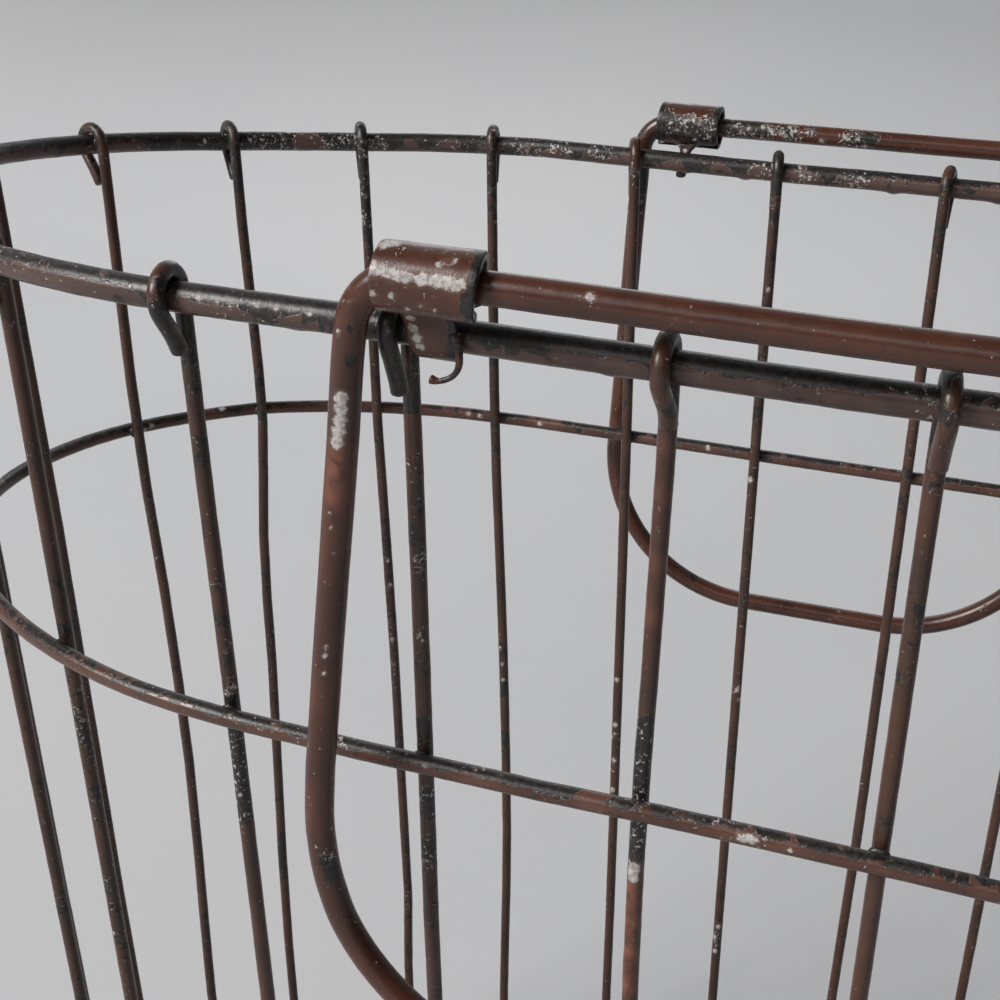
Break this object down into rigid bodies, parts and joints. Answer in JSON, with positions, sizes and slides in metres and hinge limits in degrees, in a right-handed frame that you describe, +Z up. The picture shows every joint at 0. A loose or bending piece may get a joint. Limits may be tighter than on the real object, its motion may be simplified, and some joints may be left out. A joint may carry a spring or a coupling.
{
  "type": "wire locker basket",
  "caption": "Deep oblong wire basket with rounded ends, open at the top, with a drop handle of thick rod hanging in rolled clips on each long wall.",
  "frame": {"origin": "middle of the basket in plan, at the underside of the lowest floor wires", "axes": "+X along the long walls towards the right round end, +Z up, -Y towards the front wall with the near handle"},
  "size_m": [0.4032, 0.2084, 0.3323],
  "materials": {
    "worn_dark_paint": "satin, worn, with chipped spots",
    "brown_paint": "satin, worn",
    "copper_brown_paint": "satin, worn, with chipped spots"
  },
  "bodies": {
    "basket": {"rim_hoop": "worn_dark_paint", "upper_ring": "brown_paint", "lower_ring": "brown_paint", "cross_wire_1": "worn_dark_paint", "cross_wire_2": "worn_dark_paint", "cross_wire_3": "worn_dark_paint", "cross_wire_4": "worn_dark_paint", "cross_wire_5": "worn_dark_paint", "cross_wire_6": "worn_dark_paint", "long_wire_1": "worn_dark_paint", "long_wire_2": "worn_dark_paint", "long_wire_3": "worn_dark_paint", "long_wire_4": "worn_dark_paint", "long_wire_5": "worn_dark_paint", "corner_wire_1": "worn_dark_paint", "corner_wire_2": "worn_dark_paint", "corner_wire_3": "worn_dark_paint", "corner_wire_4": "worn_dark_paint", "clip_front_left": "copper_brown_paint", "clip_front_right": "copper_brown_paint", "clip_back_left": "copper_brown_paint", "clip_back_right": "copper_brown_paint"},
    "front_handle": {"handle_front": "copper_brown_paint"},
    "back_handle": {"handle_back": "copper_brown_paint"}
  },
  "joints": [
    {"name": "front_handle_hinge", "type": "hinge", "parent": "basket", "child": "front_handle", "pos_m": [0, -0.0989, 0.327], "axis": [-1, 0, 0], "range_deg": [0, 225]},
    {"name": "back_handle_hinge", "type": "hinge", "parent": "basket", "child": "back_handle", "pos_m": [0, 0.0989, 0.327], "axis": [1, 0, 0], "range_deg": [0, 225]}
  ]
}
